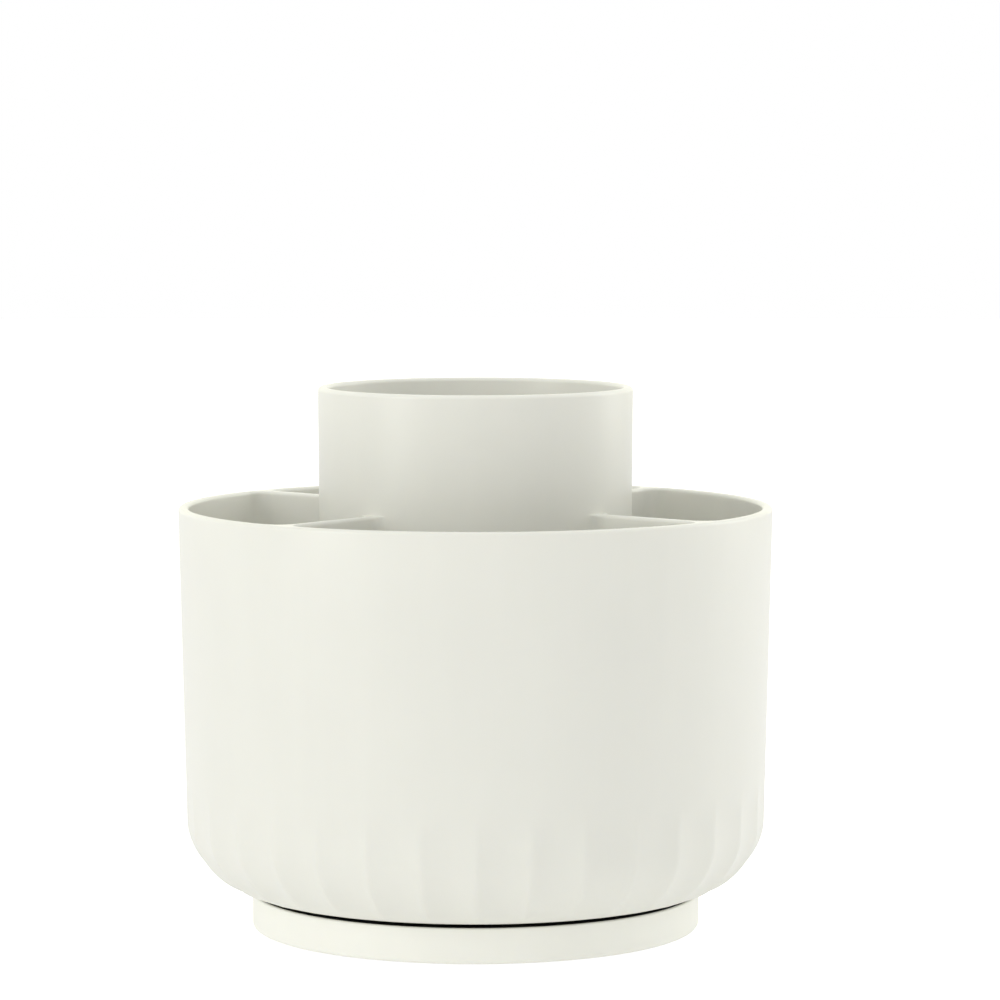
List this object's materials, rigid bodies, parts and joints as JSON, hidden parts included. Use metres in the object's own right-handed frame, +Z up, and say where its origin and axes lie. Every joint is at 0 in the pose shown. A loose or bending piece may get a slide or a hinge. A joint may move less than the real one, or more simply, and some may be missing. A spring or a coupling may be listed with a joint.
{
  "type": "rotating desk caddy",
  "caption": "Round desk caddy with a taller centre cup and radial outer compartments, a fluted foot, and a barrel that turns on a low base.",
  "frame": {"origin": "on the turning axis, in the plane of the table that the rubber pads rest on", "axes": "+Z up along the turning axis; -Y is the front, midway between two dividers; +X to the front's right"},
  "size_m": [0.1302, 0.1302, 0.1194],
  "materials": {
    "ivory_plastic": "smooth satin gloss, injection moulded",
    "white_nylon": "plain moulded nylon",
    "bearing_steel": "polished bearing steel",
    "screw_steel": "bright zinc plated",
    "rubber_pad": "matt non-slip rubber"
  },
  "bodies": {
    "base": {"base_shell": "ivory_plastic", "base_cover": "white_nylon", "cover_screw_1": "screw_steel", "cover_screw_2": "screw_steel", "cover_screw_3": "screw_steel", "cover_screw_4": "screw_steel", "foot_pad_1": "rubber_pad", "foot_pad_2": "rubber_pad", "foot_pad_3": "rubber_pad", "foot_pad_4": "rubber_pad", "lower_race": "bearing_steel", "pivot_bush": "white_nylon"},
    "cage": {"ball_cage": "white_nylon", "ball_01": "bearing_steel", "ball_02": "bearing_steel", "ball_03": "bearing_steel", "ball_04": "bearing_steel", "ball_05": "bearing_steel", "ball_06": "bearing_steel", "ball_07": "bearing_steel", "ball_08": "bearing_steel", "ball_09": "bearing_steel", "ball_10": "bearing_steel", "ball_11": "bearing_steel", "ball_12": "bearing_steel"},
    "turning_barrel": {"barrel": "ivory_plastic", "upper_race": "bearing_steel", "pivot_screw": "screw_steel", "pivot_washer": "screw_steel"}
  },
  "joints": [
    {"name": "barrel_spin", "type": "hinge", "parent": "base", "child": "turning_barrel", "pos_m": [0, 0, 0], "axis": [0, 0, 1], "continuous": true},
    {"name": "cage_spin", "type": "hinge", "parent": "base", "child": "cage", "pos_m": [0, 0, 0], "axis": [0, 0, 1], "continuous": true}
  ],
  "couplings": [
    {"joint": "cage_spin", "follows": "barrel_spin", "ratio": 0.5}
  ]
}
